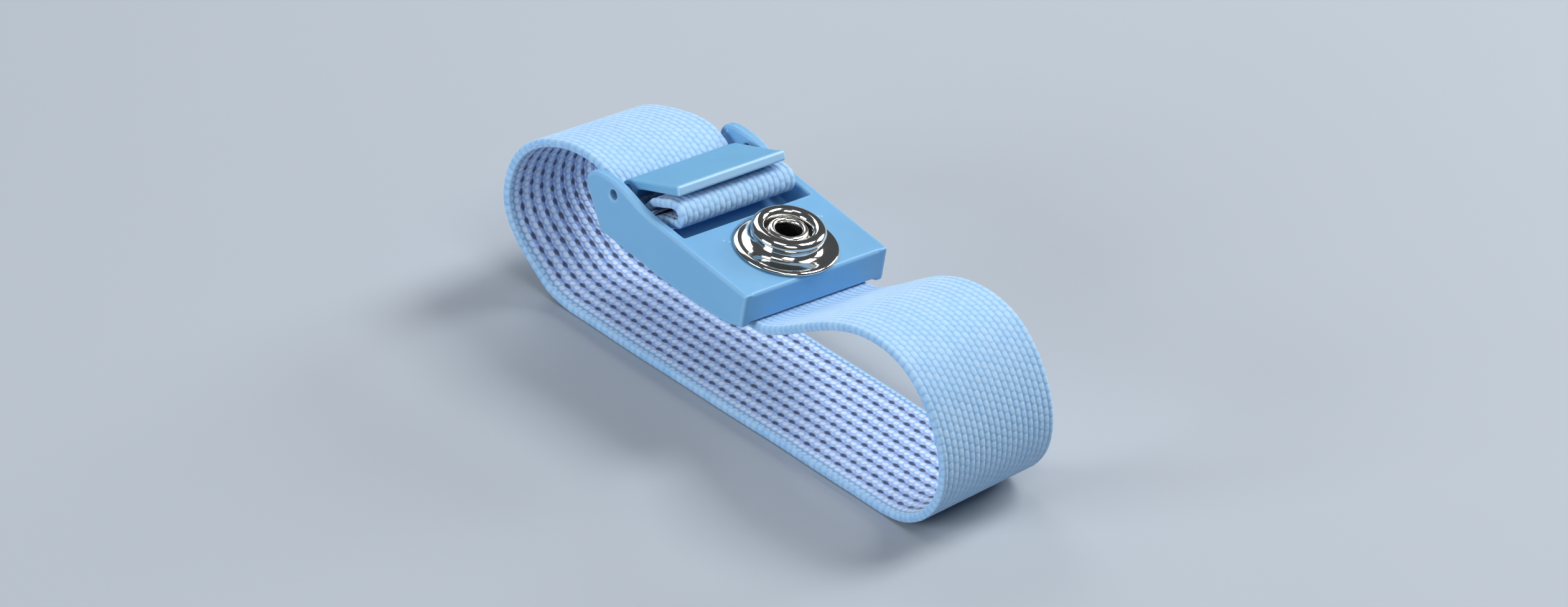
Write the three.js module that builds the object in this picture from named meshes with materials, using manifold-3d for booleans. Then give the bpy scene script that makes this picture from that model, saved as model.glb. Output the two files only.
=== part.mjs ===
// ESD wrist strap: an elastic conductive wristband closed by a moulded buckle with a cam clasp,
// and a 10 mm snap stud on the buckle for the ground cord. Millimetres, +Z up.
// The strap lies on its band, relaxed: +X runs along the loop from the clasp end to the fixed end,
// Y is the band's width, and the origin is under the middle of the loop on the surface it lies on.
import * as THREE from "three";
import { mergeVertices } from "three/addons/utils/BufferGeometryUtils.js";
import Module from "manifold-3d";

const wasm = await Module();
wasm.setup();

// ---------------------------------------------------------------- driving dimensions
const BAND_WIDTH = 19;
const BAND_THICK = 1.3;
const BODY_LENGTH = 28.9;
const BODY_WIDTH = 23.6;
const WALL = 1.4; // side cheeks of the buckle
const WINDOW_END = 14.8; // the clasp window runs from the left end to here
const BLOCK_HEIGHT = 4.6; // solid half of the buckle, which carries the stud
const CHEEK_DEPTH = 7.1;
const LUG_TOP = 1.05;
const LUG_OVERHANG = 3.2; // the cheeks reach past the block's frame round the hinge
const PIVOT = { x: 2.2, z: -0.8 }; // clasp hinge, in the buckle's frame
const PIN_R = 0.6;
const LEVER_ANGLE = 25; // how far the closed clasp stands up on the folded band, degrees
const LEVER_LENGTH = 10.5;
const LEVER_SIDES = [-9.2, 8.4]; // it has a little side play in the frame and sits to one side
const CROSS_BAR = { x: 7.7, z: -0.85, r: 0.3 }; // the band turns back round this steel bar
const ANVIL = { x0: 0.7, x1: 4.5, z0: -5.35, z1: -4.15 };
const STUD_X = 22.5;
const FLANGE_R = 6.9;
const HEAD_R = 4.95;
const HEAD_TOP = 3.45;
const PLATE = { x0: 15.3, x1: 27.0, halfWidth: 9.2, z0: -6.9, z1: -6.3, corner: 2 };

// Where the buckle's frame stands: its origin is the middle of its left top edge.
const BUCKLE_AT = { x: -22.4, y: 1.25, z: 23.35 };
const PITCH = 5.1; // the stud end is lower, degrees
const ROLL = 5.2; // the +Y side is lower, degrees
const YAW = 2.4; // the +Y side is further along +X, degrees

// The sections below are drawn from the left end of the band's ground contact; this puts the
// middle of the whole strap over the origin.
const CENTRE = { x: 0.292, y: -0.486, z: 0 };

const rad = THREE.MathUtils.degToRad;
const cosP = Math.cos(rad(PITCH)),
  sinP = Math.sin(rad(PITCH));

// ---------------------------------------------------------------- helpers
function solid(geometry) {
  const g = geometry.index ? geometry.toNonIndexed() : geometry.clone();
  for (const k of Object.keys(g.attributes)) if (k !== "position") g.deleteAttribute(k);
  const m = mergeVertices(g, 1e-4);
  return new wasm.Manifold(
    new wasm.Mesh({
      numProp: 3,
      vertProperties: new Float32Array(m.attributes.position.array),
      triVerts: new Uint32Array(m.index.array),
    }),
  );
}
function geometryOf(manifold) {
  const m = manifold.getMesh(),
    n = m.numProp,
    p = new Float32Array(m.numVert * 3);
  for (let i = 0; i < m.numVert; i++) p.set(m.vertProperties.subarray(i * n, i * n + 3), i * 3);
  const g = new THREE.BufferGeometry();
  g.setAttribute("position", new THREE.BufferAttribute(p, 3));
  g.setIndex(new THREE.BufferAttribute(new Uint32Array(m.triVerts), 1));
  const flat = g.toNonIndexed();
  flat.computeVertexNormals();
  return flat;
}
// A profile in (x, z) extruded from y0 to y1.
function slab(points, y0, y1, bevel = 0, steps = 1) {
  const shape = new THREE.Shape(points.map(([x, z]) => new THREE.Vector2(x, z)));
  const g = new THREE.ExtrudeGeometry(shape, {
    depth: y1 - y0 - 2 * bevel,
    steps,
    bevelEnabled: bevel > 0,
    bevelSize: bevel,
    bevelThickness: bevel,
    bevelOffset: -bevel,
    bevelSegments: 1,
  });
  g.rotateX(Math.PI / 2); // profile (x, z), depth towards -y
  g.translate(0, y1 - bevel, 0);
  return g;
}
function block(x0, x1, y0, y1, z0, z1) {
  const g = new THREE.BoxGeometry(x1 - x0, y1 - y0, z1 - z0);
  g.translate((x0 + x1) / 2, (y0 + y1) / 2, (z0 + z1) / 2);
  return g;
}
// A round bar along Y.
function barY(x, z, r, y0, y1, n = 24) {
  const g = new THREE.CylinderGeometry(r, r, y1 - y0, n);
  g.translate(x, (y0 + y1) / 2, z);
  return g;
}
// A turned piece about Z; the profile is (r, z) and closes on itself or on the axis.
function turned(profile, n) {
  const g = new THREE.LatheGeometry(
    profile.map(([r, z]) => new THREE.Vector2(r, z)),
    n,
  );
  g.rotateX(Math.PI / 2);
  return g;
}
function arc(cx, cz, r, a0, a1, n) {
  const out = [];
  for (let i = 0; i <= n; i++) {
    const a = rad(a0 + ((a1 - a0) * i) / n);
    out.push([cx + r * Math.cos(a), cz + r * Math.sin(a)]);
  }
  return out;
}
function material(color, roughness, metalness) {
  return new THREE.MeshStandardMaterial({ color, roughness, metalness });
}
function node(name, geometry, mat) {
  const m = new THREE.Mesh(geometry, mat);
  m.name = name;
  return m;
}

const plastic = material(0x72b4ea, 0.45, 0);
const leverPlastic = material(0x7cbcf0, 0.42, 0);
const webbing = material(0x9fcdf0, 0.9, 0);
const nickel = material(0xcfcdc6, 0.2, 1);
const steel = material(0xb9bcc0, 0.3, 1);

// ---------------------------------------------------------------- the band
// Centreline of the band's thickness in (x, z), mid-width. Points inside the buckle are in its frame.
const fromBuckle = ([x, z]) => [
  BUCKLE_AT.x + x * cosP + z * sinP,
  BUCKLE_AT.z - x * sinP + z * cosP,
];
const HALF = BAND_THICK / 2;
const path = [
  ...[[15.5, -5.5], [18.5, -5.5], [22, -5.5], [25.2, -5.5], [27.6, -5.5]].map(fromBuckle),
  [7.2, 15.75], [9.6, 16.75], [12.4, 18.45], [16.2, 21.0], [20.2, 23.35], [24.6, 24.85], [29.2, 25.05],
  [33.4, 23.85], [36.7, 21.25], [38.9, 17.8], [40.15, 14.0], [40.25, 10.0], [39.1, 6.5], [36.6, 3.4],
  [33.4, 1.45], [29.8, HALF + 0.06], [26, HALF],
  [20, HALF], [10, HALF], [0, HALF], [-10, HALF], [-20, HALF], [-27, HALF],
  [-30.6, HALF + 0.06], [-34.2, 1.6], [-37.4, 4.3], [-39.9, 8.2], [-40.85, 12.5], [-40.3, 16.5], [-38.6, 19.6],
  [-36.0, 21.7], [-32.8, 22.85], [-29.2, 23.25], [-25.6, 22.95],
  ...[[-0.60, -1.40], [0.90, -2.60], [2.50, -3.32], [4.00, -3.26], [5.20, -2.45], [6.05, -1.30], [7.09, 0.15], [8.62, 1.00], [10.10, 1.80], [11.15, 2.00], [12.00, 1.68], [12.42, 0.90],
    [12.20, 0.05], [11.50, -0.45], [10.15, -0.95], [8.25, -1.78], [7.45, -2.80], [7.05, -3.80], [6.55, -4.75], [5.80, -5.60], [4.60, -6.22], [3.20, -6.32], [1.20, -6.32]].map(fromBuckle),
];
const curve = new THREE.CatmullRomCurve3(
  path.map(([x, z]) => new THREE.Vector3(x, 0, z)),
  false,
  "centripetal",
);
curve.arcLengthDivisions = 4000;
const total = curve.getLength();
// Stations along the centreline, closer together where it bends.
const stations = [];
for (let s = 0; s < total; ) {
  stations.push(s);
  const a = curve.getTangentAt(Math.min(1, s / total));
  const turn = Math.max(
    ...[0.6, 1.5, 3].map((d) => a.angleTo(curve.getTangentAt(Math.min(1, (s + d) / total))) / d),
  ); // radians per mm, over the next length
  s += THREE.MathUtils.clamp(0.16 / Math.max(turn, 1e-6), 0.45, 4);
}
if (total - stations[stations.length - 1] < 0.4) stations.pop();
stations.push(total);
const outer = [],
  inner = [];
const ground = [28.2, -29.0]; // the two ends of the length that lies flat on the ground
let laid = false;
for (const s of stations) {
  const p = curve.getPointAt(s / total),
    t = curve.getTangentAt(s / total);
  if (p.z < HALF + 0.2) {
    if (!laid) {
      for (const x of ground) {
        outer.push([x, 0]);
        inner.push([x, BAND_THICK]);
      }
    }
    laid = true;
    continue;
  }
  outer.push([p.x - t.z * HALF, p.z + t.x * HALF]);
  inner.push([p.x + t.z * HALF, p.z - t.x * HALF]);
}
const smooth = (v) => THREE.MathUtils.smoothstep(v, 0, 1);
// How far the band leans over and turns at a point of the section, in radians: as far as the buckle
// where it is held, leaning further in the left-hand bend, and nothing on the ground.
function lean(x, z) {
  const up = smooth((z - 1.5) / 12);
  const right = 1 - 0.6 * smooth((x - 7) / 16) - 0.4 * smooth((x - 22) / 17);
  const left = 1 + 0.6 * smooth((BUCKLE_AT.x - 2.6 - x) / 8);
  return rad(ROLL) * up * right * left;
}
function held(x, z) {
  return smooth((z - 1.5) / 12) * (1 - smooth((x - 7) / 26)) * (1 - smooth((BUCKLE_AT.x - 2.6 - x) / 14));
}
const bandGeometry = slab([...outer, ...inner.reverse()], -BAND_WIDTH / 2, BAND_WIDTH / 2, 0, 4);
{
  const p = bandGeometry.attributes.position;
  for (let i = 0; i < p.count; i++) {
    const x = p.getX(i),
      y = p.getY(i),
      z = p.getZ(i),
      a = lean(x, z),
      w = held(x, z),
      b = rad(YAW) * w;
    // in the buckle's frame: turned about its own Z, then leant about its long axis
    const dx = x - BUCKLE_AT.x,
      dz = z - BUCKLE_AT.z;
    const along = dx * cosP - dz * sinP,
      up = dx * sinP + dz * cosP;
    const along1 = along * Math.cos(b) + y * Math.sin(b),
      y1 = y * Math.cos(b) - along * Math.sin(b);
    const y2 = y1 * Math.cos(a) + up * Math.sin(a),
      up2 = up * Math.cos(a) - y1 * Math.sin(a);
    p.setXYZ(
      i,
      BUCKLE_AT.x + along1 * cosP + up2 * sinP,
      y2 + BUCKLE_AT.y * w,
      BUCKLE_AT.z - along1 * sinP + up2 * cosP,
    );
  }
}

// ---------------------------------------------------------------- the buckle
const CHEEK_IN = BODY_WIDTH / 2 - WALL; // inner face of a cheek
const cheekProfile = [
  [1.3, -CHEEK_DEPTH],
  [13, -CHEEK_DEPTH],
  [20, -6.6],
  [26, -5.9],
  [BODY_LENGTH, -4.8],
  [BODY_LENGTH, 0],
  [9.5, 0],
  [7.5, 0.12],
  [4.2, 0.8],
  [2.2, LUG_TOP],
  [0.4, LUG_TOP - 0.1],
  [-1.0, 0.75],
  [-2.1, 0.3],
  [-2.8, -0.3],
  [-LUG_OVERHANG, -1.3],
  [-2.8, -2.4],
  [0.3, -6.4],
];
const cheeks = [-1, 1].map((side) =>
  solid(
    slab(
      cheekProfile,
      side < 0 ? -BODY_WIDTH / 2 : CHEEK_IN,
      side < 0 ? -CHEEK_IN : BODY_WIDTH / 2,
      0.25,
    ),
  ),
);
const stem = slab(
  [
    [WINDOW_END, -BLOCK_HEIGHT],
    [BODY_LENGTH - 0.3, -BLOCK_HEIGHT],
    [BODY_LENGTH, -BLOCK_HEIGHT + 0.3],
    [BODY_LENGTH, -0.3],
    [BODY_LENGTH - 0.3, 0],
    [WINDOW_END + 0.2, 0],
    [WINDOW_END, -0.2],
  ],
  -CHEEK_IN - 0.6,
  CHEEK_IN + 0.6,
);
const anvilGeometry = slab(
  [
    [ANVIL.x0, ANVIL.z0 + 0.5],
    [ANVIL.x0 + 0.5, ANVIL.z0],
    [ANVIL.x1 - 0.5, ANVIL.z0],
    [ANVIL.x1, ANVIL.z0 + 0.5],
    [ANVIL.x1, ANVIL.z1 - 0.4],
    [ANVIL.x1 - 0.4, ANVIL.z1],
    [ANVIL.x0 + 0.4, ANVIL.z1],
    [ANVIL.x0, ANVIL.z1 - 0.4],
  ],
  -CHEEK_IN - 0.6,
  CHEEK_IN + 0.6,
);
// A thin web closes the bottom of the window in front of the turning bar.
const web = slab(
  [
    [8.5, -BLOCK_HEIGHT],
    [WINDOW_END + 0.4, -BLOCK_HEIGHT],
    [WINDOW_END + 0.4, -BLOCK_HEIGHT + 0.8],
    [8.6, -BLOCK_HEIGHT + 0.8],
    [8.4, -BLOCK_HEIGHT + 0.6],
    [8.4, -BLOCK_HEIGHT + 0.1],
  ],
  -CHEEK_IN - 0.6,
  CHEEK_IN + 0.6,
);
let body = cheeks[0]
  .add(cheeks[1])
  .add(solid(stem))
  .add(solid(web))
  .add(solid(anvilGeometry));
body = body
  .subtract(solid(barY(PIVOT.x, PIVOT.z, PIN_R + 0.1, -BODY_WIDTH, BODY_WIDTH, 16)))
  .subtract(
    solid(barY(CROSS_BAR.x, CROSS_BAR.z, CROSS_BAR.r + 0.1, -CHEEK_IN - 0.8, CHEEK_IN + 0.8, 12)),
  )
  .subtract(
    solid(
      turned(
        [
          [0, -20],
          [2.15, -20],
          [2.15, 20],
          [0, 20],
        ],
        24,
      ).translate(STUD_X, 0, 0),
    ),
  );

// ---------------------------------------------------------------- the clasp lever
// Drawn flat, pivot at the origin, then turned up to its closed angle.
const leverTop = 1.45,
  leverBottom = 0.25;
const leverProfile = [
  ...arc(0, 0, 1.3, 118, 205, 5),
  // cam lobe with its three gripping teeth
  ...[
    [1.33, 225],
    [1.35, 235],
    [1.55, 243],
    [1.35, 250],
    [1.57, 259],
    [1.35, 266],
    [1.57, 275],
    [1.35, 284],
    [1.3, 300],
  ].map(([r, a]) => [r * Math.cos(rad(a)), r * Math.sin(rad(a))]),
  [1.4, -0.35],
  [1.9, leverBottom - 0.1],
  [2.8, leverBottom],
  [LEVER_LENGTH - 0.25, leverBottom],
  [LEVER_LENGTH, leverBottom + 0.25],
  [LEVER_LENGTH, leverTop - 0.05],
  [LEVER_LENGTH - 0.2, leverTop + 0.12],
  [LEVER_LENGTH - 1.0, leverTop + 0.12],
  [LEVER_LENGTH - 1.4, leverTop],
  [0.6, leverTop],
];
const leverSolid = solid(
  slab(leverProfile, ...LEVER_SIDES, 0.15),
).subtract(solid(barY(0, 0, PIN_R + 0.1, -BODY_WIDTH, BODY_WIDTH, 16)));
const leverGeometry = geometryOf(leverSolid);
leverGeometry.rotateY(-rad(LEVER_ANGLE));
leverGeometry.translate(PIVOT.x, 0, PIVOT.z);

const strapBarGeometry = barY(
  CROSS_BAR.x,
  CROSS_BAR.z,
  CROSS_BAR.r,
  -CHEEK_IN - 0.6,
  CHEEK_IN + 0.6,
  12,
);
const pinGeometry = barY(PIVOT.x, PIVOT.z, PIN_R, -BODY_WIDTH / 2 + 0.8, BODY_WIDTH / 2 - 0.8, 16); // its ends stand back in their holes

// ---------------------------------------------------------------- stud, rivet and skin plate
const studProfile = [
  [2.1, 0.08],
  [6.55, 0.08],
  [FLANGE_R, 0.22],
  [FLANGE_R, 0.42],
  [6.6, 0.62],
  [5.6, 0.74],
  [4.7, 0.95],
  [4.25, 1.3],
  [4.2, 1.65],
  [4.45, 2.0],
  [4.85, 2.3],
  [HEAD_R, 2.7],
  [4.8, 3.1],
  [4.5, 3.35],
  [4.2, HEAD_TOP],
  [3.5, HEAD_TOP],
  [3.15, 3.2],
  [2.95, 2.7],
  [2.95, 1.7],
  [2.1, 1.7],
  [2.1, 0.08],
];
const rivetProfile = [
  [0, -7.75],
  [1.6, -7.7],
  [2.7, -7.5],
  [3.3, -7.2],
  [3.4, -6.98],
  [1.95, -6.98],
  [1.95, 1.78],
  [2.45, 1.78],
  [2.7, 2.1],
  [2.65, 2.6],
  [2.35, 2.95],
  [2.0, 3.0],
  [1.75, 2.75],
  [1.72, 2.2],
  [1.7, -2.0],
  [0, -2.3],
];
const plateShape = (() => {
  const { x0, x1, halfWidth: w, corner: c } = PLATE;
  const s = new THREE.Shape();
  s.moveTo(x0 + c, -w);
  s.lineTo(x1 - c, -w);
  s.quadraticCurveTo(x1, -w, x1, -w + c);
  s.lineTo(x1, w - c);
  s.quadraticCurveTo(x1, w, x1 - c, w);
  s.lineTo(x0 + c, w);
  s.quadraticCurveTo(x0, w, x0, w - c);
  s.lineTo(x0, -w + c);
  s.quadraticCurveTo(x0, -w, x0 + c, -w);
  const hole = new THREE.Path();
  hole.absarc(STUD_X, 0, 2.15, 0, 2 * Math.PI, true);
  s.holes.push(hole);
  return s;
})();
const plateGeometry = new THREE.ExtrudeGeometry(plateShape, {
  depth: PLATE.z1 - PLATE.z0,
  bevelEnabled: false,
  curveSegments: 6,
});
plateGeometry.translate(0, 0, PLATE.z0);

// the rivet's shank passes the band's fixed end
const bandSolid = solid(bandGeometry);
const bandHole = turned(
  [
    [0, -9],
    [2.15, -9],
    [2.15, -3],
    [0, -3],
  ],
  24,
).translate(STUD_X, 0, 0);

// ---------------------------------------------------------------- assembly
const strap = new THREE.Group();
const centred = new THREE.Group();
centred.position.set(CENTRE.x, CENTRE.y, CENTRE.z);
strap.add(centred);
const buckle = new THREE.Group();
buckle.position.set(BUCKLE_AT.x, BUCKLE_AT.y, BUCKLE_AT.z);
buckle.rotation.set(0, rad(PITCH), 0);
const leaning = new THREE.Group();
leaning.rotation.set(-rad(ROLL), 0, -rad(YAW));
buckle.add(leaning);
centred.add(buckle);

leaning.add(node("buckle_body", geometryOf(body), plastic));
leaning.add(node("clasp_lever", leverGeometry, leverPlastic));
leaning.add(node("lever_pin", pinGeometry, steel));
leaning.add(node("strap_bar", strapBarGeometry, steel));
leaning.add(node("snap_stud", turned(studProfile, 36).translate(STUD_X, 0, 0), nickel));
leaning.add(node("stud_rivet", turned(rivetProfile, 24).translate(STUD_X, 0, 0), nickel));
leaning.add(node("skin_contact_plate", plateGeometry, steel));

strap.updateMatrixWorld(true);
bandHole.applyMatrix4(leaning.matrixWorld).translate(-CENTRE.x, -CENTRE.y, -CENTRE.z);
centred.add(node("elastic_band", geometryOf(bandSolid.subtract(solid(bandHole))), webbing));

export default strap;
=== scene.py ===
import math

import bmesh
import bpy
import numpy as np
from mathutils import Matrix, Vector


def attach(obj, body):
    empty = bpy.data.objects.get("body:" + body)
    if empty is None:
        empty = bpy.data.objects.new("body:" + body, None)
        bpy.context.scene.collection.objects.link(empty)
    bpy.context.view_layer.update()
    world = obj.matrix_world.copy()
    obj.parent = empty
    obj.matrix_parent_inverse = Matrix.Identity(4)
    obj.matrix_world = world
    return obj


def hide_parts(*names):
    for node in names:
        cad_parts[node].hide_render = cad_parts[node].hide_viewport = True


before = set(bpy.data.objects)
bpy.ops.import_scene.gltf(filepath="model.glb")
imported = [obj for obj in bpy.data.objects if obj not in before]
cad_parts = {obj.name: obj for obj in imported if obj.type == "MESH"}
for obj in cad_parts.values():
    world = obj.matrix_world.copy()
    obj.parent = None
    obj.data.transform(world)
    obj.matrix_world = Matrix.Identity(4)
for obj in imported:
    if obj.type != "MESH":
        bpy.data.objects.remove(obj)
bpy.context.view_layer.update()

MM = 0.001

# ------------------------------------------------------------------ the frame the strap is drawn in
CENTRE = np.array([0.292, -0.486, 0.0])
BUCKLE = np.array([-22.4, 1.25, 23.35])
PITCH, ROLL, YAW = (math.radians(v) for v in (5.1, 5.2, 2.4))
LEVER_ANGLE = math.radians(25)
PIVOT = (2.2, 0.0, -0.8)
STUD_X = 22.5
W = 19.0  # band width
T = 1.3  # band thickness

# buckle frame -> row frame, in millimetres
BUCKLE_M = (
    Matrix.Translation(Vector(BUCKLE + CENTRE))
    @ Matrix.Rotation(PITCH, 4, "Y")
    @ Matrix.Rotation(-ROLL, 4, "X")
    @ Matrix.Rotation(-YAW, 4, "Z")
)
LEVER_M = BUCKLE_M @ Matrix.Translation(Vector(PIVOT)) @ Matrix.Rotation(-LEVER_ANGLE, 4, "Y")


# ------------------------------------------------------------------ mesh helpers
def link(name, mesh):
    o = bpy.data.objects.new(name, mesh)
    bpy.context.scene.collection.objects.link(o)
    return o


def apply_modifiers(o):
    deps = bpy.context.evaluated_depsgraph_get()
    deps.update()
    m = bpy.data.meshes.new_from_object(o.evaluated_get(deps))
    old = o.data
    o.modifiers.clear()
    o.data = m
    bpy.data.meshes.remove(old)
    return o


def to_row(o, matrix):
    """The mesh is in millimetres in a local frame; this bakes it into the row frame in metres."""
    o.data.transform(Matrix.Scale(MM, 4) @ matrix)
    o.matrix_world = Matrix.Identity(4)
    return o


def smooth_shade(o, angle=None):
    for p in o.data.polygons:
        p.use_smooth = True
    if angle is not None:
        o.data.set_sharp_from_angle(angle=math.radians(angle))
    return o


def node_copy(name, node, matrix):
    """The CAD node's own shape as a new mesh, in millimetres in that local frame."""
    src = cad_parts[node].data
    m = src.copy()
    m.transform(matrix.inverted() @ Matrix.Scale(1 / MM, 4))
    o = link(name, m)
    bm = bmesh.new()
    bm.from_mesh(o.data)
    bmesh.ops.remove_doubles(bm, verts=bm.verts, dist=0.004)
    bm.to_mesh(o.data)
    bm.free()
    o.data.materials.clear()
    return o


def moulded(o, voxel, passes, factor=0.5):
    """Rounds every edge and fillet a little, as a moulding has them."""
    r = o.modifiers.new("remesh", "REMESH")
    r.mode = "VOXEL"
    r.voxel_size = voxel
    r.adaptivity = 0.0
    s = o.modifiers.new("smooth", "SMOOTH")
    s.iterations = passes
    s.factor = factor
    apply_modifiers(o)
    return smooth_shade(o)


def prism(bm, points, y0, y1):
    """A closed prism of an (x, z) outline, from y0 to y1."""
    a = [bm.verts.new((x, y0, z)) for x, z in points]
    b = [bm.verts.new((x, y1, z)) for x, z in points]
    n = len(points)
    bm.faces.new(a)
    bm.faces.new(list(reversed(b)))
    for i in range(n):
        bm.faces.new((a[(i + 1) % n], a[i], b[i], b[(i + 1) % n]))


def turned(name, profile, steps=96, centre=(0.0, 0.0), close=False):
    """A lathe about Z through centre; the profile is (r, z) in millimetres, finely spaced."""
    verts, faces = [], []
    rows = []
    for r, z in profile:
        if r < 1e-6:
            rows.append([len(verts)])
            verts.append((centre[0], centre[1], z))
        else:
            row = []
            for i in range(steps):
                a = 2 * math.pi * i / steps
                row.append(len(verts))
                verts.append((centre[0] + r * math.cos(a), centre[1] + r * math.sin(a), z))
            rows.append(row)
    pairs = list(zip(rows, rows[1:]))
    if close:
        pairs.append((rows[-1], rows[0]))
    for p, q in pairs:
        if len(p) == 1 and len(q) == 1:
            continue
        for i in range(steps):
            j = (i + 1) % steps
            if len(p) == 1:
                faces.append((p[0], q[j], q[i]))
            elif len(q) == 1:
                faces.append((p[i], p[j], q[0]))
            else:
                faces.append((p[i], p[j], q[j], q[i]))
    m = bpy.data.meshes.new(name)
    m.from_pydata(verts, [], faces)
    bm = bmesh.new()
    bm.from_mesh(m)
    bmesh.ops.recalc_face_normals(bm, faces=bm.faces)
    bm.to_mesh(m)
    bm.free()
    return smooth_shade(link(name, m))


def rounded(points, n=6, r=0.2, closed=False):
    """The same outline with each corner turned into a small arc."""
    out = []
    k = len(points)
    for i, p in enumerate(points):
        if not closed and i in (0, k - 1):
            out.append(tuple(p))
            continue
        a, b, c = np.array(points[i - 1], float), np.array(p, float), np.array(points[(i + 1) % k], float)
        u, v = a - b, c - b
        lu, lv = np.linalg.norm(u), np.linalg.norm(v)
        d = min(r, 0.45 * lu, 0.45 * lv)
        s, e = b + u / lu * d, b + v / lv * d
        for t in np.linspace(0, 1, n):
            out.append(tuple((1 - t) ** 2 * s + 2 * t * (1 - t) * b + t * t * e))
    return out


# ------------------------------------------------------------------ node-material helpers
class Nodes:
    def __init__(self, name):
        self.m = bpy.data.materials.new(name)
        self.m.use_nodes = True
        self.t = self.m.node_tree
        self.t.nodes.clear()
        self.out = self.new("ShaderNodeOutputMaterial")
        self.b = self.new("ShaderNodeBsdfPrincipled")
        self.link(self.b.outputs[0], self.out.inputs[0])

    def new(self, kind, **kw):
        n = self.t.nodes.new(kind)
        for k, v in kw.items():
            setattr(n, k, v)
        return n

    def link(self, a, b):
        self.t.links.new(a, b)

    def put(self, socket, value):
        if isinstance(value, bpy.types.NodeSocket):
            self.link(value, socket)
        else:
            socket.default_value = value

    def math(self, op, a, b=None, c=None, clamp=False):
        n = self.new("ShaderNodeMath", operation=op, use_clamp=clamp)
        self.put(n.inputs[0], a)
        if b is not None:
            self.put(n.inputs[1], b)
        if c is not None:
            self.put(n.inputs[2], c)
        return n.outputs[0]

    def ramp(self, fac, stops, interpolation="LINEAR"):
        n = self.new("ShaderNodeValToRGB")
        n.color_ramp.interpolation = interpolation
        e = n.color_ramp.elements
        while len(e) < len(stops):
            e.new(0.5)
        for i, (p, col) in enumerate(stops):
            e[i].position = p
            e[i].color = (*col, 1.0) if len(col) == 3 else col
        self.link(fac, n.inputs[0])
        return n.outputs[0]

    def mix(self, fac, a, b, blend="MIX"):
        n = self.new("ShaderNodeMix", data_type="RGBA", blend_type=blend)
        self.put(n.inputs["Factor"], fac)
        for s, v in ((n.inputs[6], a), (n.inputs[7], b)):
            if isinstance(v, tuple) and len(v) == 3:
                v = (*v, 1.0)
            self.put(s, v)
        return n.outputs[2]

    def noise(self, vec, scale, detail=3.0, rough=0.5, dim="3D"):
        n = self.new("ShaderNodeTexNoise", noise_dimensions=dim)
        self.link(vec, n.inputs["Vector"])
        n.inputs["Scale"].default_value = scale
        n.inputs["Detail"].default_value = detail
        n.inputs["Roughness"].default_value = rough
        return n.outputs[0]

    def bump(self, height, distance, strength=1.0, normal=None):
        n = self.new("ShaderNodeBump")
        n.inputs["Strength"].default_value = strength
        n.inputs["Distance"].default_value = distance
        self.link(height, n.inputs["Height"])
        if normal is not None:
            self.link(normal, n.inputs["Normal"])
        return n.outputs[0]

    def objco(self):
        return self.new("ShaderNodeTexCoord").outputs["Object"]


def srgb(r, g, b):
    f = lambda c: (c / 255 / 12.92) if c / 255 <= 0.04045 else ((c / 255 + 0.055) / 1.055) ** 2.4
    return (f(r), f(g), f(b))


# ------------------------------------------------------------------ the band
def from_buckle(p):
    x, z = p
    return (
        BUCKLE[0] + x * math.cos(PITCH) + z * math.sin(PITCH),
        BUCKLE[2] - x * math.sin(PITCH) + z * math.cos(PITCH),
    )


H = T / 2
PATH = (
    [from_buckle(p) for p in [(15.5, -5.5), (18.5, -5.5), (22, -5.5), (25.2, -5.5), (27.6, -5.5)]]
    + [
        (7.2, 15.75), (9.6, 16.75), (12.4, 18.45), (16.2, 21.0), (20.2, 23.35), (24.6, 24.85), (29.2, 25.05),
        (33.4, 23.85), (36.7, 21.25), (38.9, 17.8), (40.15, 14.0), (40.25, 10.0), (39.1, 6.5), (36.6, 3.4),
        (33.4, 1.45), (29.8, H + 0.06), (26, H),
        (20, H), (10, H), (0, H), (-10, H), (-20, H), (-27, H),
        (-30.6, H + 0.06), (-34.2, 1.6), (-37.4, 4.3), (-39.9, 8.2), (-40.85, 12.5), (-40.3, 16.5), (-38.6, 19.6),
        (-36.0, 21.7), (-32.8, 22.85), (-29.2, 23.25), (-25.6, 22.95),
    ]
    + [
        from_buckle(p)
        for p in [
            (-0.60, -1.40), (0.90, -2.60), (2.50, -3.32), (4.00, -3.26), (5.20, -2.45), (6.05, -1.30),
            (7.09, 0.15), (8.62, 1.00), (10.10, 1.80), (11.15, 2.00), (12.00, 1.68), (12.42, 0.90),
            (12.20, 0.05), (11.50, -0.45), (10.15, -0.95), (8.25, -1.78), (7.45, -2.80), (7.05, -3.80), (6.55, -4.75),
            (5.80, -5.60), (4.60, -6.22), (3.20, -6.32), (1.20, -6.32),
        ]
    ]
)


def centripetal(points, per=60):
    """The centripetal Catmull-Rom curve through the points, finely sampled."""
    P = [np.array(p, float) for p in points]
    P = [2 * P[0] - P[1]] + P + [2 * P[-1] - P[-2]]
    out = []
    for i in range(1, len(P) - 2):
        p0, p1, p2, p3 = P[i - 1 : i + 3]
        d = [max(np.linalg.norm(b - a) ** 0.5, 1e-4) for a, b in ((p0, p1), (p1, p2), (p2, p3))]
        m1 = ((p1 - p0) / d[0] - (p2 - p0) / (d[0] + d[1]) + (p2 - p1) / d[1]) * d[1]
        m2 = ((p2 - p1) / d[1] - (p3 - p1) / (d[1] + d[2]) + (p3 - p2) / d[2]) * d[1]
        for t in np.linspace(0, 1, per, endpoint=False):
            t2, t3 = t * t, t * t * t
            out.append((2 * t3 - 3 * t2 + 1) * p1 + (t3 - 2 * t2 + t) * m1 + (3 * t2 - 2 * t3) * p2 + (t3 - t2) * m2)
    out.append(P[-2])
    return np.array(out)


fine = centripetal(PATH)
seg = np.linalg.norm(np.diff(fine, axis=0), axis=1)
arc = np.concatenate([[0], np.cumsum(seg)])
LENGTH = float(arc[-1])


def smoothstep(v):
    v = np.clip(v, 0, 1)
    return v * v * (3 - 2 * v)


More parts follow.
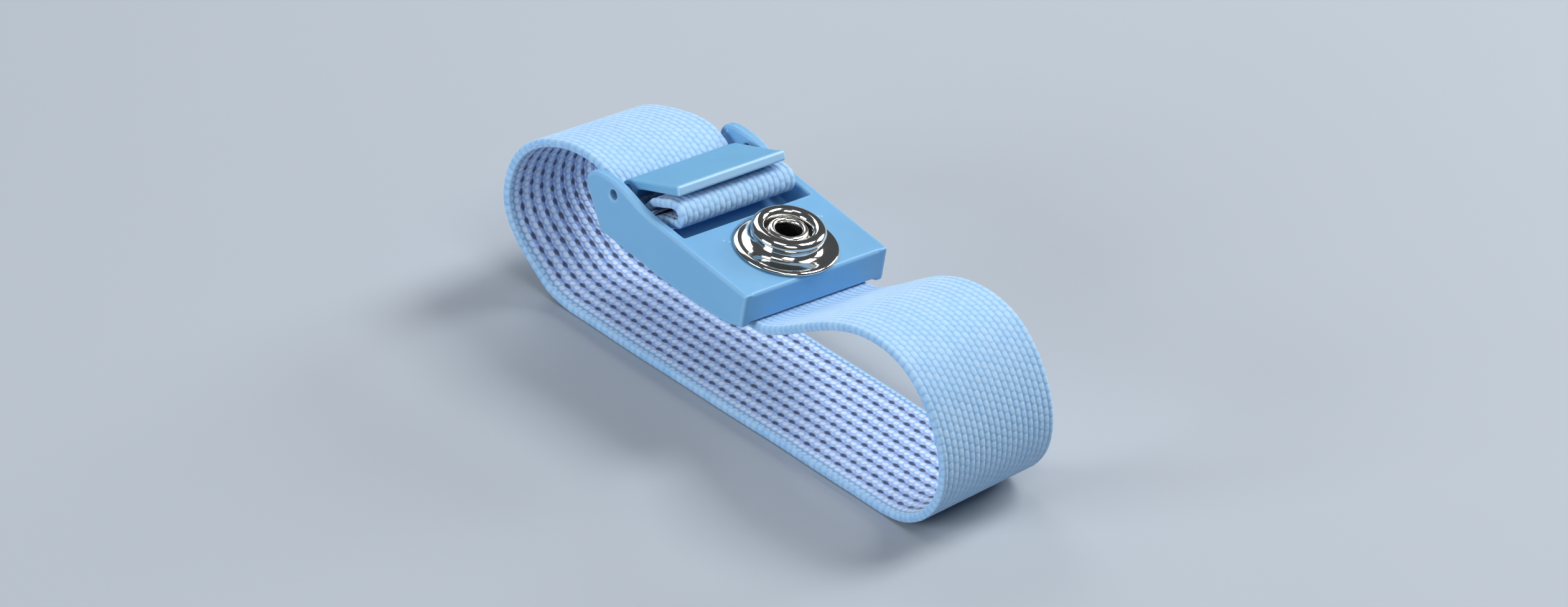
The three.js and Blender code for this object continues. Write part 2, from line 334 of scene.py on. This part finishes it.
def lay(x, y, z):
    """Leans and turns the flat-drawn band to where it lies; millimetres, arrays in and out."""
    up = smoothstep((z - 1.5) / 12)
    a = (
        ROLL
        * up
        * (1 - 0.6 * smoothstep((x - 7) / 16) - 0.4 * smoothstep((x - 22) / 17))
        * (1 + 0.6 * smoothstep((BUCKLE[0] - 2.6 - x) / 8))
    )
    w = up * (1 - smoothstep((x - 7) / 26)) * (1 - smoothstep((BUCKLE[0] - 2.6 - x) / 14))
    b = YAW * w
    cp, sp = math.cos(PITCH), math.sin(PITCH)
    dx, dz = x - BUCKLE[0], z - BUCKLE[2]
    along, up1 = dx * cp - dz * sp, dx * sp + dz * cp
    along1, y1 = along * np.cos(b) + y * np.sin(b), y * np.cos(b) - along * np.sin(b)
    y2, up2 = y1 * np.cos(a) + up1 * np.sin(a), up1 * np.cos(a) - y1 * np.sin(a)
    return (
        BUCKLE[0] + along1 * cp + up2 * sp + CENTRE[0],
        y2 + BUCKLE[1] * w + CENTRE[1],
        BUCKLE[2] - along1 * sp + up2 * cp + CENTRE[2],
    )


ROW = 1.8  # pitch of the conductive rows on the inside
DASH = 2.0  # pitch of the stitches along a row
WALE = 0.9  # pitch of the outside ribs
COURSE = 1.1  # pitch of the outside stitches


def band():
    step = 0.3
    n = int(round(LENGTH / step))
    S = np.linspace(0, LENGTH, n + 1)
    cx, cz = np.interp(S, arc, fine[:, 0]), np.maximum(np.interp(S, arc, fine[:, 1]), H)
    # tangents from the fine curve, a little smoothed
    e = 0.12
    tx = np.interp(np.clip(S + e, 0, LENGTH), arc, fine[:, 0]) - np.interp(np.clip(S - e, 0, LENGTH), arc, fine[:, 0])
    tz = np.interp(np.clip(S + e, 0, LENGTH), arc, fine[:, 1]) - np.interp(np.clip(S - e, 0, LENGTH), arc, fine[:, 1])
    ln = np.hypot(tx, tz)
    tx, tz = tx / ln, tz / ln
    nx, nz = tz, -tx  # towards the inside of the loop
    # section: (y, offset, v) going round; v is the place across the width, for the weave
    half = W / 2
    m = 84
    ys = np.linspace(-half + 0.45, half - 0.45, m)
    edge = [(-math.cos(a), math.sin(a)) for a in np.linspace(0, math.pi, 9)]
    # outside face (offset -H), from -y to +y, then round the +y edge, inside face back, round the -y edge
    sec = [("o", y) for y in ys] + [("p", k) for k in range(1, 8)] + [("i", y) for y in ys[::-1]] + [("q", k) for k in range(1, 8)]
    ns = len(sec)
    V = np.zeros((n + 1, ns, 3))
    UV = np.zeros((n + 1, ns, 2))
    side = np.zeros(ns, int)
    r = 0.45
    for j, (k, q) in enumerate(sec):
        if k == "o":
            y = np.full(n + 1, q)
            # ribs along the length, crossed by the stitches
            k = math.floor((q + half) / WALE)
            rib = abs(math.sin(math.pi * (q + half) / WALE)) ** 0.7
            loop = np.abs(np.sin(math.pi * (S / COURSE + 0.5 * (k % 2)))) ** 0.7
            off = -(H - 0.06) - 0.05 * (rib * (0.45 + 0.55 * loop) - 0.5)
            v = q
        elif k == "i":
            y = np.full(n + 1, q)
            d = (q / ROW) - round(q / ROW)
            near = abs(q) < 4.5 * ROW
            k = math.floor(q / ROW + 0.5)
            rise = 0.5 - 0.5 * math.cos(2 * math.pi * d)
            dash = np.cos(2 * math.pi * (S / DASH + 0.5 * (k % 2)))
            h = 0.06 * rise - 0.045 + 0.025 * (1 - rise) * dash if near else 0.012 * np.cos(2 * math.pi * S / COURSE)
            off = (H - 0.06) + h
            v = q
        else:
            a = math.pi * q / 8
            s = 1 if k == "p" else -1
            # the selvedge: a row of small loops
            loop = 0.07 * np.abs(np.sin(math.pi * S / 1.1 + (0.5 if s > 0 else 0))) ** 0.8
            y = s * (half - r + (r + 0 * S + loop - 0.05) * math.sin(a))
            off = (-math.cos(a) if s > 0 else math.cos(a)) * (H - 0.05) + 0 * S
            v = s * (half - r + r * math.sin(a))
        # a soft, slightly uneven hand to the cloth
        y = y + 0.06 * np.sin(S / 7.3 + 1.3) + 0.03 * np.sin(S / 2.9)
        x = cx + nx * off
        z = cz + nz * off
        X, Y, Z = lay(x, y, z)
        V[:, j, 0], V[:, j, 1], V[:, j, 2] = X, Y, Z
        UV[:, j, 0] = S
        UV[:, j, 1] = v if np.isscalar(v) else v
        side[j] = 1 if k == "i" else 0
    verts = V.reshape(-1, 3) * MM
    faces, uvs, mats = [], [], []
    flat = UV.reshape(-1, 2)
    for i in range(n):
        for j in range(ns):
            k = (j + 1) % ns
            a, b, c, d = i * ns + j, i * ns + k, (i + 1) * ns + k, (i + 1) * ns + j
            faces.append((a, d, c, b))
            inside = sec[j][0] == "i" and sec[k][0] == "i"
            mats.append(1 if inside else 0)
    # end caps
    cap0 = len(verts)
    ends = np.array([verts[:ns].mean(0), verts[n * ns :].mean(0)])
    verts = np.concatenate([verts, ends])
    for j in range(ns):
        k = (j + 1) % ns
        faces.append((cap0, j, k))
        mats.append(0)
        faces.append((cap0 + 1, n * ns + k, n * ns + j))
        mats.append(0)
    me = bpy.data.meshes.new("band_cloth")
    me.from_pydata(verts.tolist(), [], faces)
    me.update()
    uv = me.uv_layers.new(name="cloth")
    lv = np.zeros(len(me.loops), np.int32)
    me.loops.foreach_get("vertex_index", lv)
    full = np.concatenate([flat, [[0.0, 0.0], [LENGTH, 0.0]]])
    uv.data.foreach_set("uv", (full[lv] / 100.0).astype(np.float32).ravel())
    me.polygons.foreach_set("material_index", np.array(mats, np.int32))
    me.update()
    o = link("elastic_band_cloth", me)
    return smooth_shade(o)


def cloth_coords(n):
    """u along the band and v across it, both in millimetres."""
    uv = n.new("ShaderNodeUVMap")
    uv.uv_map = "cloth"
    s = n.new("ShaderNodeSeparateXYZ")
    n.link(uv.outputs[0], s.inputs[0])
    return n.math("MULTIPLY", s.outputs[0], 100.0), n.math("MULTIPLY", s.outputs[1], 100.0)


def cell(n, u, v, pu, pv, stagger=0.5):
    """Distance along and across from the middle of the nearest stitch, each from -0.5 to 0.5, with every other row offset."""
    rv = n.math("DIVIDE", v, pv)
    row = n.math("FLOOR", n.math("ADD", rv, 0.5))
    dv = n.math("SUBTRACT", rv, row)
    odd = n.math("MULTIPLY", n.math("FLOORED_MODULO", row, 2.0), stagger)
    ru = n.math("ADD", n.math("DIVIDE", u, pu), odd)
    col = n.math("FLOOR", n.math("ADD", ru, 0.5))
    du = n.math("SUBTRACT", ru, col)
    return du, dv, row, col


def oval(n, du, dv, a, b, soft=0.35):
    """1 inside an oval of half-size a by b, falling softly to 0 outside it."""
    q = n.math(
        "SQRT",
        n.math("ADD", n.math("POWER", n.math("DIVIDE", du, a), 2.0), n.math("POWER", n.math("DIVIDE", dv, b), 2.0)),
    )
    return n.math("SUBTRACT", 1.0, n.math("SMOOTH_MIN", n.math("MAXIMUM", n.math("DIVIDE", n.math("SUBTRACT", q, 1 - soft), 2 * soft), 0.0), 1.0, 0.1), clamp=True)


def vec3(n, x, y, z=0.0):
    c = n.new("ShaderNodeCombineXYZ")
    for s, v in zip(c.inputs, (x, y, z)):
        n.put(s, v)
    return c.outputs[0]


def cloth_outside():
    n = Nodes("knit_outside")
    u, v = cloth_coords(n)
    co = vec3(n, u, v)
    # the knit is never quite regular
    wob = n.noise(co, 0.35, 2.0)
    u1 = n.math("ADD", u, n.math("MULTIPLY", n.math("SUBTRACT", wob, 0.5), 0.5))
    v1 = n.math("ADD", v, n.math("MULTIPLY", n.math("SUBTRACT", n.noise(co, 0.5, 2.0), 0.5), 0.16))
    du, dv, row, col = cell(n, u1, n.math("ADD", v1, WALE * 0.5 + 9.5), COURSE, WALE)
    st = oval(n, du, dv, 0.5, 0.44, 0.45)
    # twisted yarn inside each stitch
    tw = n.math("SINE", n.math("ADD", n.math("MULTIPLY", u1, 22.0), n.math("MULTIPLY", v1, 30.0)))
    rand = n.new("ShaderNodeTexWhiteNoise", noise_dimensions="2D")
    n.link(vec3(n, col, row), rand.inputs["Vector"])
    h = n.math("ADD", st, n.math("MULTIPLY", tw, 0.07))
    h = n.math("ADD", h, n.math("MULTIPLY", n.noise(co, 9.0, 4.0), 0.28))
    lit = srgb(168, 204, 238)
    mid = srgb(148, 191, 230)
    low = srgb(114, 164, 215)
    base = n.ramp(n.math("ADD", n.math("MULTIPLY", st, 0.86), n.math("MULTIPLY", n.noise(co, 6.0, 3.0), 0.14)), [(0.0, low), (0.45, mid), (1.0, lit)])
    patch = n.noise(co, 0.09, 3.0)
    base = n.mix(n.math("MULTIPLY", rand.outputs[0], 0.2), base, srgb(196, 222, 245))
    base = n.mix(n.math("MULTIPLY", n.math("SUBTRACT", patch, 0.42, clamp=True), 0.5), base, srgb(120, 176, 228))
    n.link(base, n.b.inputs["Base Color"])
    n.b.inputs["Roughness"].default_value = 0.86
    n.b.inputs["Specular IOR Level"].default_value = 0.3
    n.b.inputs["Sheen Weight"].default_value = 0.35
    n.b.inputs["Sheen Roughness"].default_value = 0.45
    n.b.inputs["Sheen Tint"].default_value = (0.85, 0.93, 1.0, 1.0)
    n.link(n.bump(h, 0.00014, 0.8), n.b.inputs["Normal"])
    return n.m


def cloth_inside():
    n = Nodes("knit_inside")
    u, v = cloth_coords(n)
    co = vec3(n, u, v)
    u1 = n.math("ADD", u, n.math("MULTIPLY", n.math("SUBTRACT", n.noise(co, 0.3, 2.0), 0.5), 0.7))
    v1 = n.math("ADD", v, n.math("MULTIPLY", n.math("SUBTRACT", n.noise(co, 0.4, 2.0), 0.5), 0.22))
    # rows of dark conductive dashes
    du, dv, row, col = cell(n, u1, v1, DASH, ROW, 0.5)
    dash = oval(n, du, dv, 0.27, 0.175, 0.32)
    lane = n.math("SUBTRACT", 1.0, n.math("MULTIPLY", n.math("ABSOLUTE", dv), 4.2), clamp=True)
    inside = n.math("LESS_THAN", n.math("ABSOLUTE", v), 4.5 * ROW)
    dash = n.math("MULTIPLY", dash, inside)
    lane = n.math("MULTIPLY", lane, inside)
    # pale stitches on the ribs between the rows
    eu, ev, row2, col2 = cell(n, u1, n.math("ADD", v1, ROW / 2), DASH / 2, ROW / 2, 0.5)
    st = oval(n, eu, ev, 0.44, 0.42, 0.3)
    tw = n.math("SINE", n.math("ADD", n.math("MULTIPLY", u1, 20.0), n.math("MULTIPLY", v1, 26.0)))
    pale = n.ramp(n.math("ADD", n.math("MULTIPLY", st, 0.85), n.math("MULTIPLY", n.noise(co, 6.0, 3.0), 0.15)), [(0.0, srgb(156, 196, 246)), (0.5, srgb(190, 216, 254)), (1.0, srgb(222, 236, 255))])
    rim = n.math("SUBTRACT", n.math("ABSOLUTE", v), 4.35 * ROW, clamp=True)
    pale = n.mix(rim, pale, n.ramp(st, [(0.0, srgb(110, 165, 220)), (1.0, srgb(178, 214, 243))]))
    col1 = n.mix(n.math("MULTIPLY", lane, 0.85), pale, srgb(78, 116, 190))
    speck = n.noise(co, 5.0, 3.0)
    dark = n.mix(speck, srgb(16, 26, 58), srgb(44, 64, 116))
    col1 = n.mix(n.math("MULTIPLY", dash, 0.95), col1, dark)
    n.link(col1, n.b.inputs["Base Color"])
    n.link(n.math("SUBTRACT", 0.88, n.math("MULTIPLY", dash, 0.36)), n.b.inputs["Roughness"])
    n.b.inputs["Specular IOR Level"].default_value = 0.35
    n.b.inputs["Sheen Weight"].default_value = 0.3
    n.b.inputs["Sheen Roughness"].default_value = 0.45
    n.b.inputs["Sheen Tint"].default_value = (0.88, 0.92, 1.0, 1.0)
    h = n.math("ADD", n.math("MULTIPLY", st, n.math("SUBTRACT", 1.0, n.math("MULTIPLY", lane, 0.7))), n.math("MULTIPLY", dash, 0.55))
    h = n.math("ADD", h, n.math("MULTIPLY", tw, 0.07))
    h = n.math("ADD", h, n.math("MULTIPLY", n.noise(co, 9.0, 4.0), 0.25))
    n.link(n.bump(h, 0.00017, 0.9), n.b.inputs["Normal"])
    return n.m


# ------------------------------------------------------------------ plastics and metals
def plastic(name, colour, deep, pale, tip=None):
    n = Nodes(name)
    co = n.objco()
    big = n.noise(co, 90.0, 3.0)
    fine_n = n.noise(co, 2600.0, 4.0, 0.6)
    flow = n.noise(co, 320.0, 5.0, 0.55)
    base = n.mix(n.math("MULTIPLY", big, 0.55), colour, deep)
    # painted highlight: paler along the rounded edges, where they catch the light
    geo = n.new("ShaderNodeNewGeometry")
    edge = n.ramp(geo.outputs["Pointiness"], [(0.50, (0, 0, 0)), (0.56, (1, 1, 1))])
    e = n.new("ShaderNodeSeparateColor")
    n.link(edge, e.inputs[0])
    base = n.mix(n.math("MULTIPLY", e.outputs[0], 0.5), base, pale)
    # painted shade: deeper blue in the creases and hollows
    crease = n.ramp(geo.outputs["Pointiness"], [(0.40, (1, 1, 1)), (0.485, (0, 0, 0))])
    c = n.new("ShaderNodeSeparateColor")
    n.link(crease, c.inputs[0])
    base = n.mix(n.math("MULTIPLY", c.outputs[0], 0.35), base, deep)
    if tip is not None:
        # painted highlight: the lip of the clasp is painted pale towards its tip, in place of the light its rounded
        # front catches
        axis, place = tip.col[0].to_3d().normalized(), tip.translation
        dot = n.new("ShaderNodeVectorMath", operation="DOT_PRODUCT")
        n.link(co, dot.inputs[0])
        dot.inputs[1].default_value = tuple(axis)
        along = n.math("SUBTRACT", n.math("MULTIPLY", dot.outputs["Value"], 1000.0), float(place.dot(axis)))
        along = n.math("ADD", along, n.math("MULTIPLY", n.math("SUBTRACT", flow, 0.5), 0.5))
        lip = n.math("DIVIDE", n.math("SUBTRACT", along, 9.75), 0.6, clamp=True)
        base = n.mix(n.math("MULTIPLY", lip, 0.75), base, pale)
    # sparse scuffs
    scuff = n.ramp(n.noise(co, 700.0, 6.0, 0.7), [(0.62, (0, 0, 0)), (0.74, (1, 1, 1))])
    s = n.new("ShaderNodeSeparateColor")
    n.link(scuff, s.inputs[0])
    base = n.mix(n.math("MULTIPLY", s.outputs[0], 0.14), base, pale)
    n.link(base, n.b.inputs["Base Color"])
    n.link(n.math("ADD", 0.38, n.math("MULTIPLY", flow, 0.22)), n.b.inputs["Roughness"])
    n.b.inputs["IOR"].default_value = 1.5
    n.b.inputs["Specular IOR Level"].default_value = 0.75
    n.b.inputs["Subsurface Weight"].default_value = 0.12
    n.b.inputs["Subsurface Radius"].default_value = (0.25, 0.5, 1.0)
    n.b.inputs["Subsurface Scale"].default_value = 0.0012
    bump1 = n.bump(fine_n, 0.000012, 0.55)
    n.link(n.bump(flow, 0.00004, 0.35, bump1), n.b.inputs["Normal"])
    return n.m


def metal(name, colour, rough, brush=None):
    n = Nodes(name)
    co = n.objco()
    tarnish = n.noise(co, 420.0, 5.0, 0.6)
    base = n.mix(n.math("MULTIPLY", tarnish, 0.5), colour, tuple(c * 0.72 for c in colour))
    geo = n.new("ShaderNodeNewGeometry")
    crease = n.ramp(geo.outputs["Pointiness"], [(0.38, (1, 1, 1)), (0.49, (0, 0, 0))])
    c = n.new("ShaderNodeSeparateColor")
    n.link(crease, c.inputs[0])
    base = n.mix(n.math("MULTIPLY", c.outputs[0], 0.55), base, tuple(k * 0.25 for k in colour))
    n.link(base, n.b.inputs["Base Color"])
    n.b.inputs["Metallic"].default_value = 1.0
    n.link(n.math("ADD", rough, n.math("MULTIPLY", n.noise(co, 1500.0, 4.0), rough * 0.8)), n.b.inputs["Roughness"])
    if brush:
        m = n.new("ShaderNodeMapping")
        m.inputs["Scale"].default_value = brush
        n.link(co, m.inputs[0])
        h = n.noise(m.outputs[0], 1.0, 5.0, 0.65)
        n.link(n.bump(h, 0.00002, 0.5), n.b.inputs["Normal"])
    else:
        h = n.noise(co, 2400.0, 3.0, 0.6)
        n.link(n.bump(h, 0.000006, 0.35), n.b.inputs["Normal"])
    return n.m


BLUE = srgb(111, 169, 210)
DEEP = srgb(86, 148, 200)
# the pale blue is both the painted highlight on the edges and the clasp lip, and the colour of the scuffs
PALE_HIGHLIGHT_AND_SCUFF = srgb(170, 211, 242)
body_mat = plastic("buckle_plastic", BLUE, DEEP, PALE_HIGHLIGHT_AND_SCUFF)
lever_mat = plastic("clasp_plastic", srgb(102, 166, 206), srgb(76, 143, 192), PALE_HIGHLIGHT_AND_SCUFF, LEVER_M)
nickel = metal("nickel_plate", (0.80, 0.785, 0.75), 0.06)
rivet_mat = metal("rivet_nickel", (0.76, 0.75, 0.72), 0.13)
steel = metal("pin_steel", (0.62, 0.63, 0.65), 0.2, (900.0, 60.0, 900.0))
stainless = metal("stainless_plate", (0.66, 0.665, 0.67), 0.22, (90.0, 2600.0, 2600.0))

# ------------------------------------------------------------------ the pieces
strap = band()
strap.data.materials.append(cloth_outside())
strap.data.materials.append(cloth_inside())
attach(strap, "strap")
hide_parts("elastic_band")

body = moulded(node_copy("buckle_moulding", "buckle_body", BUCKLE_M), 0.13, 7)
to_row(body, BUCKLE_M)
body.data.materials.append(body_mat)
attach(body, "strap")
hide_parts("buckle_body")

lever = moulded(node_copy("clasp_moulding", "clasp_lever", LEVER_M), 0.085, 6)
to_row(lever, LEVER_M)
lever.data.materials.append(lever_mat)
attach(lever, "lever")
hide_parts("clasp_lever")


def pin(name, x, z, r, half, node):
    prof = rounded([(0.0, -half), (r - 0.1, -half), (r, -half + 0.16), (r, -half + 0.9), (r - 0.03, -half + 1.0), (r, -half + 1.1), (r, half - 1.1), (r - 0.03, half - 1.0), (r, half - 0.9), (r, half - 0.16), (r - 0.12, half), (0.0, half)], 4, 0.06)
    o = turned(name, prof, 48)
    o.data.transform(Matrix.Translation((x, 0, z)) @ Matrix.Rotation(math.radians(90), 4, "X"))
    to_row(o, BUCKLE_M)
    o.data.materials.append(steel)
    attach(o, "strap")
    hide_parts(node)
    return o


pin("clasp_pin", PIVOT[0], PIVOT[2], 0.6, 11.0, "lever_pin")
pin("turning_bar", 7.7, -0.85, 0.3, 11.0, "strap_bar")

stud = turned(
    "stud_shell",
    rounded(
        [
            (2.1, 0.10), (6.45, 0.10), (6.85, 0.16), (6.9, 0.32), (6.75, 0.5), (6.35, 0.62), (5.7, 0.66), (5.1, 0.78), (4.62, 1.02),
            (4.3, 1.35), (4.22, 1.65), (4.36, 1.95), (4.72, 2.22), (4.93, 2.52), (4.92, 2.85), (4.72, 3.15), (4.4, 3.36), (4.02, 3.44),
            (3.62, 3.42), (3.32, 3.26), (3.08, 2.95), (2.98, 2.5), (2.95, 1.75), (2.1, 1.72),
        ],
        5,
        0.3,
        closed=True,
    ),
    128,
    (STUD_X, 0.0),
    close=True,
)
to_row(stud, BUCKLE_M)
stud.data.materials.append(nickel)
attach(stud, "strap")
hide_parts("snap_stud")

rivet = turned(
    "rivet_eyelet",
    rounded(
        [
            (0.0, -7.74), (1.4, -7.7), (2.5, -7.55), (3.2, -7.28), (3.4, -7.06), (3.3, -6.98), (1.95, -6.98), (1.95, 1.8),
            (2.4, 1.86), (2.68, 2.15), (2.68, 2.55), (2.45, 2.88), (2.1, 2.98), (1.82, 2.82), (1.7, 2.4), (1.66, 1.5), (1.62, -1.9), (1.2, -2.25), (0.0, -2.35),
        ],
        5,
        0.25,
    ),
    96,
    (STUD_X, 0.0),
)
to_row(rivet, BUCKLE_M)
rivet.data.materials.append(rivet_mat)
# painted shade: the bore of the eyelet gets a near-black metal, in place of the shadow deep in the hole
rivet.data.materials.append(metal("rivet_bore_painted_shade", (0.05, 0.05, 0.055), 0.4))
inv = (Matrix.Scale(MM, 4) @ BUCKLE_M).inverted()
for f in rivet.data.polygons:
    c = inv @ f.center
    f.material_index = 1 if math.hypot(c.x - STUD_X, c.y) < 1.69 and -2.6 < c.z < 2.2 else 0
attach(rivet, "strap")
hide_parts("stud_rivet")

plate = moulded(node_copy("skin_plate", "skin_contact_plate", BUCKLE_M), 0.09, 3)
to_row(plate, BUCKLE_M)
plate.data.materials.append(stainless)
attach(plate, "strap")
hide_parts("skin_contact_plate")

# ------------------------------------------------------------------ floor, light, camera
fm = Nodes("floor")
fco = fm.objco()
fm.link(fm.mix(fm.noise(fco, 6.0, 4.0), srgb(160, 168, 178), srgb(168, 176, 185)), fm.b.inputs["Base Color"])
fm.b.inputs["Roughness"].default_value = 0.7
fm.link(fm.bump(fm.noise(fco, 900.0, 4.0), 0.00003, 0.3), fm.b.inputs["Normal"])
bpy.ops.mesh.primitive_plane_add(size=6, location=(0, 0, -0.00002))
floor = bpy.context.object
floor.name = "floor"
floor.data.materials.append(fm.m)

AZ, EL, ROLLC, DIST = math.radians(47.6), math.radians(34.0), math.radians(1.13), 3.4827
target = Vector((0.0, 0.0, 0.0125))
to_cam = Vector((math.sin(AZ) * math.cos(EL), -math.cos(AZ) * math.cos(EL), math.sin(EL)))
cam = bpy.data.objects.new("camera", bpy.data.cameras.new("camera"))
bpy.context.scene.collection.objects.link(cam)
cam.location = target + to_cam * DIST
cam.rotation_euler = (to_cam.to_track_quat("Z", "Y").to_matrix() @ Matrix.Rotation(ROLLC, 3, "Z")).to_euler()
cam.data.sensor_width = 36.0
cam.data.lens = 36.0 * DIST * 1000 * 2.0105 * 6.3 / 2520
cam.data.clip_start = 0.05
cam.data.clip_end = 30.0
bpy.context.scene.camera = cam


def area(name, place, aim, size, power, colour=(1, 1, 1), size_y=None):
    l = bpy.data.lights.new(name, "AREA")
    l.shape = "RECTANGLE" if size_y else "SQUARE"
    l.size = size
    if size_y:
        l.size_y = size_y
    l.energy = power
    l.color = colour
    o = bpy.data.objects.new(name, l)
    bpy.context.scene.collection.objects.link(o)
    o.location = place
    d = Vector(aim) - Vector(place)
    o.rotation_euler = d.to_track_quat("-Z", "Y").to_euler()
    return o


aim = (0.0, 0.0, 0.012)
area("key", (0.16, 0.50, 0.72), aim, 0.30, 5.0, (1.0, 0.985, 0.965))
area("side", (-0.62, 0.30, 0.55), aim, 0.40, 1.6, (0.95, 0.975, 1.0))
area("box_right", (0.64, -0.20, 0.92), aim, 0.46, 2.8, (1.0, 0.99, 0.97), 0.40)
area("box_left", (-0.22, -0.98, 0.36), aim, 0.50, 7.5, (0.95, 0.975, 1.0), 0.42)
area("back_low", (0.12, 0.98, 0.46), (0.0, 0.0, 0.0), 0.40, 5.4, (0.96, 0.98, 1.0))
area("over", (0.05, -0.12, 0.95), aim, 0.30, 0.8)
world = bpy.data.worlds.new("world")
world.use_nodes = True
bg = world.node_tree.nodes["Background"]
bg.inputs[0].default_value = (0.80, 0.87, 0.96, 1.0)
bg.inputs[1].default_value = 0.10
bpy.context.scene.world = world
bpy.context.scene.view_settings.view_transform = "Standard"
